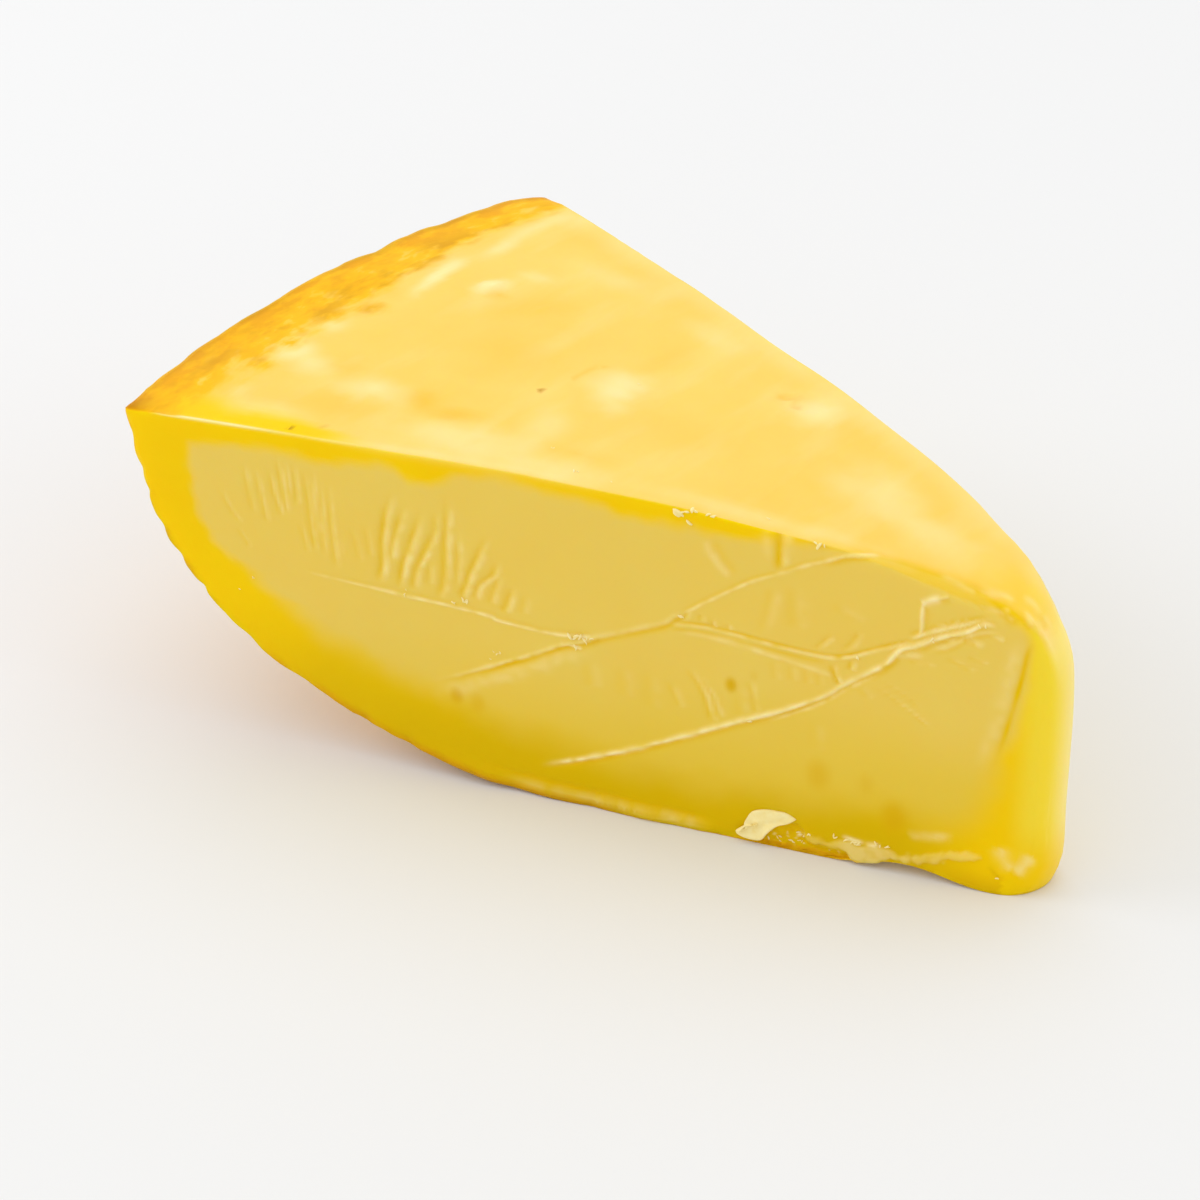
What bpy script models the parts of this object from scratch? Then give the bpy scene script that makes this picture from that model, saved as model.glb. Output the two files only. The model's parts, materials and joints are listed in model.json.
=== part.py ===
"""A wedge of smoked semi-hard cheese, cut from a small wheel and resting on its base.

The wheel was pressed in a round-bottomed mould: its top is flat with a fairly crisp rim, and its side
turns under in one long curve to the base. Two straight cuts meet at the wheel's axis, and the thin tip
between them is blunted and slumps a little. One object, one solid.

The mesh starts as a divided block, whose points are then each put in their place on the wedge:
x of the block runs along the wedge from tip to rind, y across it from cut to cut, and z up.

Frame, in metres: Z up, the table at Z = 0, the tip towards +X and the rind towards -X.
"""

import math

import bmesh
import bpy
from mathutils import Vector, noise

MM = 0.001

# The wheel and its cut
WHEEL_RADIUS = 135 * MM
WEDGE_ANGLE = math.radians(36)  # a tenth of the wheel
RIM_HEIGHT = 46.6 * MM

# The side: a quarter of a superellipse between the base and the rim
BASE_RADIUS = 70 * MM
SIDE_FULLNESS = 2.1  # 2 would be a true ellipse
SIDE_CORNER = math.radians(50)  # where on that quarter the block's long bottom edge lies

# The top: a low crown that slumps towards the tip
TOP_CROWN = 1.6 * MM
SLUMP_START = 52 * MM  # distance from the wheel's axis
SLUMP_DEPTH = 6.2 * MM

# The blunt tip
NOSE_RADIUS = 4.7 * MM
NOSE_BLEND = 30 * MM  # how far from the nose the cross-lines still bow towards it
NOSE_TOP_ROUND = 7 * MM
NOSE_FOOT_ROUND = 2.5 * MM
SOFT_REACH = 18 * MM  # how far from the nose its top edges are melted away
SOFT_ABOVE = 0.45  # share of the height where that begins
SOFT_PASSES = 30

# What the wedge's own weight has done: the belly is pressed flat, and the base squeezed into a lip
BELLY_SAG = 2.2 * MM
LIP_WIDTH = 0.8 * MM
LIP_HEIGHT = 8 * MM

# The torn lower edge of the front cut, near the tip
TEAR_CENTRE = 28 * MM  # distance from the wheel's axis
TEAR_HALF_LENGTH = 10 * MM
TEAR_HEIGHT = 12 * MM
TEAR_LIFT = 1.7 * MM
TEAR_REACH = 7 * MM  # how far under the wedge the lift runs

# Unevenness of a hand-made food: height, spacing and a shift that picks which swells fall where
RIND_SWELL = (0.6 * MM, 7 * MM, 0)
TOP_SWELL = (0.45 * MM, 17 * MM, 5)
CUT_SWELL = (0.35 * MM, 22 * MM, 9)
STEADY_HEIGHT = 4 * MM  # below this the swells die away, so that the base stays flat

# Rounding of the edges
EDGE_ROUND = 0.9 * MM
ROUND_SEGMENTS = 2
ROUND_ABOVE_ANGLE = math.radians(35)

# The block's divisions along, across and up, and the narrowest outer column across
DIVISIONS = (36, 16, 13)
OUTER_COLUMN = 1.3 * MM
NEARLY = 0.01  # closeness to a face of the block, which is 1 long

HALF_ANGLE = WEDGE_ANGLE / 2
NOSE_START = NOSE_RADIUS / math.tan(HALF_ANGLE)  # where the cuts turn into the nose


def smooth_step(t):
    """0 to 1 with flat ends."""
    t = min(max(t, 0.0), 1.0)
    return t * t * (3 - 2 * t)


def top_height(distance):
    """Height of the top at this distance from the wheel's axis."""
    along = (distance - NOSE_START) / (WHEEL_RADIUS - NOSE_START)
    crown = TOP_CROWN * math.sin(math.pi * min(max(along, 0.0), 1.0))
    slump = max(SLUMP_START - distance, 0.0) / (SLUMP_START - NOSE_START)
    return RIM_HEIGHT + crown - SLUMP_DEPTH * slump**2


def side_point(angle):
    """(distance, height) on the rounded side: angle 0 is the base's edge and a quarter turn the rim."""
    power = 2 / SIDE_FULLNESS
    out = (WHEEL_RADIUS - BASE_RADIUS) * math.sin(angle) ** power
    up = RIM_HEIGHT * (1 - max(math.cos(angle), 0.0) ** power)
    return Vector((BASE_RADIUS + out, up))


def round_set_back(gap, radius):
    """How far a rounded edge lies behind the sharp one, at this gap from its end."""
    inside = min(max(radius - gap, 0.0), radius)
    return radius - math.sqrt(radius**2 - inside**2)


def nose_line(up):
    """The cut's outline at the nose: upright, and rounded over at both ends, with more rows near the top."""
    height = top_height(NOSE_START) * (1 - (1 - up) ** 1.3)
    gap_above = top_height(NOSE_START) - height
    set_back = round_set_back(gap_above, NOSE_TOP_ROUND) + round_set_back(height, NOSE_FOOT_ROUND)
    return Vector((NOSE_START + set_back, height))


def bottom_line(along):
    """The cut's lower outline: the flat base, then the side up to its corner."""
    start = nose_line(0).x
    flat = BASE_RADIUS - start
    corner = (side_point(SIDE_CORNER) - side_point(0)).length
    run = along * (flat + corner)
    if run <= flat:
        return Vector((start + run, 0.0))
    return side_point(SIDE_CORNER * (run - flat) / corner)


def top_line(along):
    start = nose_line(1).x
    distance = start + (WHEEL_RADIUS - start) * along
    return Vector((distance, top_height(distance)))


def rim_line(up):
    return side_point(SIDE_CORNER + (math.pi / 2 - SIDE_CORNER) * up)


def cut_point(along, up):
    """(distance, height) in a cut face: a patch blended between its four outlines (a Coons patch)."""
    lengthwise = bottom_line(along).lerp(top_line(along), up)
    upright = nose_line(up).lerp(rim_line(up), along)
    corners = bottom_line(0).lerp(top_line(0), up).lerp(bottom_line(1).lerp(top_line(1), up), along)
    return lengthwise + upright - corners


def bow(distance):
    """How far a cross-line bulges towards the tip: round the wheel's axis, but outwards at the nose."""
    round_wheel = -distance * (1 - math.cos(HALF_ANGLE))
    at_nose = distance * math.tan(HALF_ANGLE) * (1 - math.sin(HALF_ANGLE))
    nose_share = 1 - smooth_step((distance - NOSE_START) / NOSE_BLEND)
    return round_wheel * (1 - nose_share) + at_nose * nose_share


def spread(across_share, distance):
    """-1 at the front cut to 1 at the back one, with outer columns wide enough for the rounded edge."""
    side = 2 * across_share - 1
    step = 2 / DIVISIONS[1]
    if abs(side) > 1 - step / 2:
        return side
    outer = max(step, OUTER_COLUMN / (distance * math.sin(HALF_ANGLE)))
    return side * (1 - outer) / (1 - step)


def across(distance, side):
    """(x, y) from the wheel's axis on the arc whose ends lie this far along the two cuts."""
    half_chord = distance * math.sin(HALF_ANGLE)
    chord_x = -distance * math.cos(HALF_ANGLE)
    sagitta = bow(distance)
    if abs(sagitta) < 0.02 * MM:  # as good as straight
        return chord_x, side * half_chord
    radius = (half_chord**2 + sagitta**2) / (2 * abs(sagitta))
    half_turn = math.asin(half_chord / radius)
    bulge = radius * (math.cos(side * half_turn) - math.cos(half_turn))
    return chord_x + math.copysign(bulge, sagitta), radius * math.sin(side * half_turn)


def belly_height(height, side):
    """The underside's height, pressed down to the table away from the cuts."""
    away_from_cuts = smooth_step(2.5 * (1 - abs(side)))
    low = 1 - smooth_step(height / (4 * BELLY_SAG))
    return max(height - BELLY_SAG * away_from_cuts * low, 0.0)


def tear_lift(point):
    """How far the base is lifted by the tear under the front cut's edge."""
    beside = 1 - abs(math.hypot(point.x, point.y) - TEAR_CENTRE) / TEAR_HALF_LENGTH
    gap_to_front_cut = point.y * math.cos(HALF_ANGLE) - point.x * math.sin(HALF_ANGLE)
    under = 1 - gap_to_front_cut / TEAR_REACH
    low = 1 - point.z / TEAR_HEIGHT
    return TEAR_LIFT * smooth_step(beside) * smooth_step(under) * smooth_step(low)


def squeeze_direction(point, side):
    """Away from the wedge's middle: towards the nearer cut, and towards +X at the nose."""
    distance = math.hypot(point.x, point.y)
    at_nose = 1 - smooth_step((distance - NOSE_START) / (2 * NOSE_RADIUS))
    return Vector((at_nose * (1 - side * side), side, 0))


def swell(point, kind):
    """A smooth random rise or dip, the same on each run."""
    height, spacing, shift = kind
    return height * noise.noise(point / spacing + Vector((shift, shift, shift)))


def worn(point, along, side, up):
    """The point moved by the food's weight, its tear and its own unevenness."""
    moved = point.copy()
    off_table = smooth_step(point.z / STEADY_HEIGHT)
    if along > 1 - NEARLY or up < NEARLY:
        outward = Vector((point.x, point.y, 0)).normalized()
        rind_share = smooth_step(3 * along - 1.5)
        moved += outward * swell(point, RIND_SWELL) * off_table * rind_share
    if up < NEARLY:
        moved.z = belly_height(point.z, side)
    if up > 1 - NEARLY:
        moved.z += swell(point, TOP_SWELL)
    if abs(side) > 1 - NEARLY:
        moved.y += swell(point, CUT_SWELL) * off_table
    moved += LIP_WIDTH * smooth_step(1 - point.z / LIP_HEIGHT) * squeeze_direction(point, side)
    moved.z += tear_lift(point)
    return moved


def divided_block():
    """A unit block with a loop cut at each division."""
    mesh = bmesh.new()
    bmesh.ops.create_cube(mesh, size=1)
    bmesh.ops.translate(mesh, verts=mesh.verts, vec=(0.5, 0.5, 0.5))
    for axis, count in enumerate(DIVISIONS):
        parallel = [e for e in mesh.edges if abs((e.verts[0].co - e.verts[1].co)[axis]) > 0.5]
        bmesh.ops.subdivide_edges(mesh, edges=parallel, cuts=count - 1, use_grid_fill=True)
    return mesh


def wedge_mesh():
    """The block with each point in its place on the wedge, weighted by how soft the tip is there."""
    mesh = divided_block()
    softness = mesh.verts.layers.deform.verify()
    for vertex in mesh.verts:
        along, across_share, up = vertex.co
        distance, height = cut_point(along, up)
        side = spread(across_share, distance)
        x, y = across(distance, side)
        vertex.co = worn(Vector((x, y, height)), along, side, up)
        near_nose = 1 - smooth_step((distance - NOSE_START) / SOFT_REACH)
        vertex[softness][0] = near_nose * smooth_step(up / SOFT_ABOVE - 1)
    bmesh.ops.recalc_face_normals(mesh, faces=mesh.faces)
    return mesh


def centre_on_base(mesh):
    """Moves the mesh so that the middle of its box's underside is the origin."""
    lows = [min(v.co[i] for v in mesh.verts) for i in range(3)]
    highs = [max(v.co[i] for v in mesh.verts) for i in range(3)]
    middle = Vector(((lows[0] + highs[0]) / 2, (lows[1] + highs[1]) / 2, lows[2]))
    bmesh.ops.translate(mesh, verts=mesh.verts, vec=-middle)


def cheese_material():
    material = bpy.data.materials.new("smoked_cheese")
    material.use_nodes = True
    shader = material.node_tree.nodes["Principled BSDF"]
    shader.inputs["Base Color"].default_value = (0.83, 0.58, 0.12, 1)
    shader.inputs["Roughness"].default_value = 0.42
    shader.inputs["Metallic"].default_value = 0.0
    return material


def round_edges(wedge):
    bevel = wedge.modifiers.new("edge_rounding", "BEVEL")
    bevel.limit_method = "ANGLE"
    bevel.angle_limit = ROUND_ABOVE_ANGLE
    bevel.width = EDGE_ROUND
    bevel.segments = ROUND_SEGMENTS


def soften_tip(wedge):
    wedge.vertex_groups.new(name="tip")
    smooth = wedge.modifiers.new("soft_tip", "SMOOTH")
    smooth.vertex_group = "tip"
    smooth.factor = 0.5
    smooth.iterations = SOFT_PASSES


def cheese_wedge():
    mesh = wedge_mesh()
    centre_on_base(mesh)
    data = bpy.data.meshes.new("cheese_wedge")
    mesh.to_mesh(data)
    mesh.free()
    data.shade_smooth()
    data.materials.append(cheese_material())
    wedge = bpy.data.objects.new("cheese_wedge", data)
    bpy.context.scene.collection.objects.link(wedge)
    round_edges(wedge)
    soften_tip(wedge)
    return wedge


def main():
    for old in list(bpy.data.objects):
        bpy.data.objects.remove(old)
    cheese_wedge()


main()
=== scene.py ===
# %% [markdown]
# # A wedge of smoked cheese
# A soft wheel of cheese was salted, smoked until its skin turned brown at the rim, cut in wedges
# and sealed in film. Out of its film the wedge is waxy and a little see-through. It has a pale
# paste in the middle of each cut face, a clear yellow band where fat has soaked the edges, fine
# wrinkles that the film pressed in, and a torn lip at the foot of one cut.
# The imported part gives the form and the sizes. The cells below add what the eye needs.

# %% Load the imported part
import itertools
import json
import math
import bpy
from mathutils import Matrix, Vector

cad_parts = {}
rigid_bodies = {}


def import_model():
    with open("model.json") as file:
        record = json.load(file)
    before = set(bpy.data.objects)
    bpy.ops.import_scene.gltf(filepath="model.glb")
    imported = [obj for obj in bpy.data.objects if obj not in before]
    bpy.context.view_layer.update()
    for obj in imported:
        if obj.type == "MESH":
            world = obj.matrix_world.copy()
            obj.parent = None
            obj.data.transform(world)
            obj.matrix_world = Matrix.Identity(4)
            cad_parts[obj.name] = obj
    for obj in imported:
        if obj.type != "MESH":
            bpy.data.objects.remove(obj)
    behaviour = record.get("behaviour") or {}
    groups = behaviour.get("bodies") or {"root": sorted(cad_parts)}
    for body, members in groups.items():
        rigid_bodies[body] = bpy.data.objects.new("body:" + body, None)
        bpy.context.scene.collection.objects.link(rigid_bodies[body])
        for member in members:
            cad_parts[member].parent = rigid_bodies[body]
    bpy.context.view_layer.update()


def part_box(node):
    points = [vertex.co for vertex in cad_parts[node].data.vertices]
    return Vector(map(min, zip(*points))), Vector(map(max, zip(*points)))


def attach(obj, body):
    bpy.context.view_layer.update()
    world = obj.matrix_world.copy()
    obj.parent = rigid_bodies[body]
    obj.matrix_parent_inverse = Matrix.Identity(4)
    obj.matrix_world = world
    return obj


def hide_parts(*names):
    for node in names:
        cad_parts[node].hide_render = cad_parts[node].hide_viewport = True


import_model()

from types import SimpleNamespace

import bpy
import numpy as np
from mathutils import Matrix, Vector

print("nodes in the frame:", [o.name for o in bpy.context.selected_objects])

# %% [markdown]
# ## Where things are on a wedge
# A baker or a cheesemonger would not give places as x, y and z. They would say how far along the
# cut from the wheel's centre, how high, and how deep behind the cut. The next cells turn the
# model's metres into those words, in millimetres, so that each later step can use them.
# Near its rounded edges the cut rolls over into the top and the nose. There "run" and "rise" carry
# its two measures on: a place further behind the cut counts as a little higher and nearer the nose.

# %% Sizes of the wheel, and where its centre stands in the frame
MM = 0.001
WHEEL_RADIUS = 135.0
HALF_ANGLE = math.radians(18.0)
LOW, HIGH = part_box("cheese_wedge")
CENTRE_X = LOW[0] / MM + WHEEL_RADIUS
TOP = HIGH[2] / MM
FRONT_OUT = np.array((math.sin(HALF_ANGLE), -math.cos(HALF_ANGLE), 0.0))
BACK_OUT = FRONT_OUT * (1.0, -1.0, 1.0)
print(f"wheel centre at x = {CENTRE_X:.1f} mm, wedge {TOP:.1f} mm high")


# %% Places on the wedge, in millimetres
ROLL_DEPTH = 9.0  # how far behind the cut its two measures are still carried on
RUN_PER_DEPTH, RISE_PER_DEPTH = 0.36, 0.65  # how far nearer the nose, and higher, a millimetre counts


def places(points):
    """Say where points in metres are: along each cut, behind it, up, and round the wheel."""
    out = CENTRE_X - points[:, 0] / MM
    across = points[:, 1] / MM
    up = points[:, 2] / MM
    cosine, sine = math.cos(HALF_ANGLE), math.sin(HALF_ANGLE)
    along, depth = out * cosine - across * sine, out * sine + across * cosine
    behind = np.clip(depth, 0.0, ROLL_DEPTH)
    return SimpleNamespace(
        xyz=points / MM,
        up=up,
        along=along,
        depth=depth,
        run=along - RUN_PER_DEPTH * behind,
        rise=up + RISE_PER_DEPTH * behind,
        back_depth=out * sine - across * cosine,
        back_along=out * cosine + across * sine,
        radius=np.hypot(out, across),
        angle=np.degrees(np.arctan2(across, out)),
    )


# %% Soft steps and bumps
def ramp(value, start, end):
    """Go smoothly from 0 at start to 1 at end."""
    share = np.clip((value - start) / (end - start), 0.0, 1.0)
    return share * share * (3.0 - 2.0 * share)


def fall(value, start, end):
    """Go smoothly from 1 at start to 0 at end."""
    return 1.0 - ramp(value, start, end)


def hump(value, middle, half_width):
    """A smooth bump: 1 at its middle and fading on both sides."""
    return np.exp(-(((value - middle) / half_width) ** 2))


# %% [markdown]
# ## Unevenness
# Nothing on food is even. A smooth random value fills space with soft hills and hollows of a
# chosen size. It is made by hand here, from a small block of random numbers that is read between
# its cells, so that the meshes and the paint can share it.

# %% Soft random hills of a chosen size
BLOCK = 24


def grain(xyz, size, seed):
    """Random values from -1 to 1 that change smoothly over about `size` millimetres."""
    block = np.random.default_rng(seed).uniform(-1.0, 1.0, (BLOCK,) * 3)
    cell = xyz / size
    low = np.floor(cell).astype(int)
    part = cell - low
    part = part * part * (3.0 - 2.0 * part)
    total = np.zeros(len(xyz))
    for corner in itertools.product((0, 1), repeat=3):
        index = (low + corner) % BLOCK
        weight = np.prod(np.where(corner, part, 1.0 - part), axis=1)
        total += weight * block[index[:, 0], index[:, 1], index[:, 2]]
    return total


# %% [markdown]
# ## The body of the wedge
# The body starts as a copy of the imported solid, so that its sizes stay right. Its loose triangles
# are merged, joined in fours and smoothed once. Then long edges are halved, again and again, and
# most where the film left creases. That spends the faces where the eye looks. Once every corner
# has its place, the faces are cut into triangles.

# %% Select with nothing left over, and apply a modifier
def only(piece):
    """Make one object the selected and active one."""
    bpy.ops.object.select_all(action="DESELECT")
    piece.select_set(True)
    bpy.context.view_layer.objects.active = piece


def modify(piece, name, kind, **settings):
    """Add a modifier to the active object, set it and apply it."""
    modifier = piece.modifiers.new(name, kind)
    for setting, value in settings.items():
        setattr(modifier, setting, value)
    bpy.ops.object.modifier_apply(modifier=modifier.name)


# %% Copy the solid and merge it
cad = bpy.data.objects["cheese_wedge"]
body = bpy.data.objects.new("cheese_body", cad.data.copy())
bpy.context.scene.collection.objects.link(body)
body.data.materials.clear()
only(body)
bpy.ops.object.mode_set(mode="EDIT")
bpy.ops.mesh.select_all(action="SELECT")
bpy.ops.mesh.remove_doubles(threshold=0.01 * MM)
bpy.ops.mesh.tris_convert_to_quads(face_threshold=math.radians(50), shape_threshold=math.radians(60))
bpy.ops.object.mode_set(mode="OBJECT")
modify(body, "soften the facets", "SUBSURF", levels=1, render_levels=1)
print("body:", len(body.data.polygons), "faces")


# %% Read a mesh into arrays
def corners(mesh):
    """The corner places of a mesh, in metres."""
    flat = np.empty(len(mesh.vertices) * 3)
    mesh.vertices.foreach_get("co", flat)
    return flat.reshape(-1, 3)


def move_corners(mesh, spots):
    """Put the corners of a mesh at new places, in metres."""
    mesh.vertices.foreach_set("co", spots.ravel())
    mesh.update()


def facing(mesh):
    """The direction that the surface faces at each corner."""
    flat = np.empty(len(mesh.vertices) * 3, dtype=np.float32)
    mesh.vertex_normals.foreach_get("vector", flat)
    return flat.reshape(-1, 3).astype(float)


# %% [markdown]
# ## Lines on the cut
# Every crease and wrinkle follows a line. A line is named by the few places it passes through,
# and a smooth curve joins them. One helper then says how far each corner of the mesh is from the
# curve, how far along it, and on which side.

# %% A smooth curve through a few places, and the distance to it
def curve(points, steps=8):
    """Join places with a smooth curve (Catmull-Rom)."""
    ends = np.array([points[0], *points, points[-1]], dtype=float)
    pieces = []
    for before, start, end, after in zip(ends, ends[1:], ends[2:], ends[3:]):
        for t in np.arange(steps) / steps:
            pieces.append(0.5 * (
                2.0 * start + (end - before) * t
                + (2.0 * before - 5.0 * start + 4.0 * end - after) * t**2
                + (3.0 * start - before - 3.0 * end + after) * t**3
            ))
    pieces.append(ends[-1])
    return np.array(pieces)


def near_line(x, y, line):
    """Distance to a line, the share of its length passed, and the side: 1 on the left."""
    start, step = line[:-1], np.diff(line, axis=0)
    length = np.hypot(step[:, 0], step[:, 1])
    dx = x[:, None] - start[:, 0]
    dy = y[:, None] - start[:, 1]
    share = np.clip((dx * step[:, 0] + dy * step[:, 1]) / length**2, 0.0, 1.0)
    distance = np.hypot(dx - share * step[:, 0], dy - share * step[:, 1])
    best = distance.argmin(axis=1)
    row = np.arange(len(x))
    passed = np.concatenate([[0.0], np.cumsum(length)[:-1]])[best] + share[row, best] * length[best]
    turn = step[best, 0] * dy[row, best] - step[best, 1] * dx[row, best]
    return distance[row, best], passed / length.sum(), np.where(turn > 0.0, 1.0, -1.0)


def inside(x, y, outline):
    """How far inside a closed outline each place is; outside counts as negative."""
    loop = np.vstack([outline, outline[:1]])
    distance, _, _ = near_line(x, y, loop)
    within = np.zeros(len(x), dtype=bool)
    for (x0, y0), (x1, y1) in zip(loop, loop[1:]):
        crosses = (y0 > y) != (y1 > y)
        if y0 != y1:
            within ^= crosses & (x < x0 + (y - y0) * (x1 - x0) / (y1 - y0))
    return np.where(within, distance, -distance)


# %% The creases of the front cut: places are (along the cut, height) in millimetres
CREASES = {
    "upper left": [(113, 27.1), (104, 26.7), (96, 26.3), (90, 26.1), (84.5, 25.7), (83, 25.3), (76, 25),
                   (72, 25.4), (70.2, 25.7)],
    "lower left": [(69.6, 25.8), (72, 24.5), (74.5, 23.6), (77, 22.2), (80, 20.5), (84, 18.4), (88, 16.3),
                   (94, 13.4)],
    "soft arch": [(71, 25.2), (68, 26.5), (64, 28.3), (61, 29.7), (59.5, 31), (58, 31.8)],
    "arch": [(61, 29.8), (56, 30.3), (52, 30.2), (48, 29.9), (44, 29.6), (40, 29.5), (38, 29.8), (36, 30.5),
             (34, 31.6), (31, 33), (28.5, 34.1)],
    "branch": [(59, 31.2), (55, 34.3), (52, 36.5), (49, 38.5), (46, 40), (43, 41.7), (40, 43.1), (38, 44.1),
               (36, 44.7), (33, 45.3)],
    "second arch": [(60, 28.9), (54, 29), (50, 28.7), (46, 28.1), (43, 27.7), (39.4, 27), (38.4, 26)],
    "long": [(78, 4.6), (69.6, 7.9), (62.8, 11.1), (56.1, 14.6), (50, 17.9), (46, 19.9), (42, 22.3),
             (39.5, 24), (38, 25.4), (36, 27.1), (34, 28.6), (32, 30.3), (30.4, 32.6), (28.5, 33.6),
             (26.4, 34.9), (24, 36.1), (22, 37.1), (20.2, 38.4), (18.4, 38.3)],
    "hook": [(28.4, 34.4), (27.9, 36), (27.9, 38), (27.7, 40), (26.4, 40.6), (24.6, 41.4)],
    "nose groove": [(13.9, 37.6), (14.7, 35.4), (15.2, 32), (15.8, 28.6), (16.4, 25.6), (17, 22.6),
                    (17.7, 19.8), (18.5, 16.4)],
    "top border": [(46, 46.2), (44, 45.9), (38, 45.5), (32, 45.1), (28, 44.6), (24, 43.9), (20, 42.9),
                   (17, 41.4), (14.6, 39.4)],
}
creases = {name: curve(points) for name, points in CREASES.items()}
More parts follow.
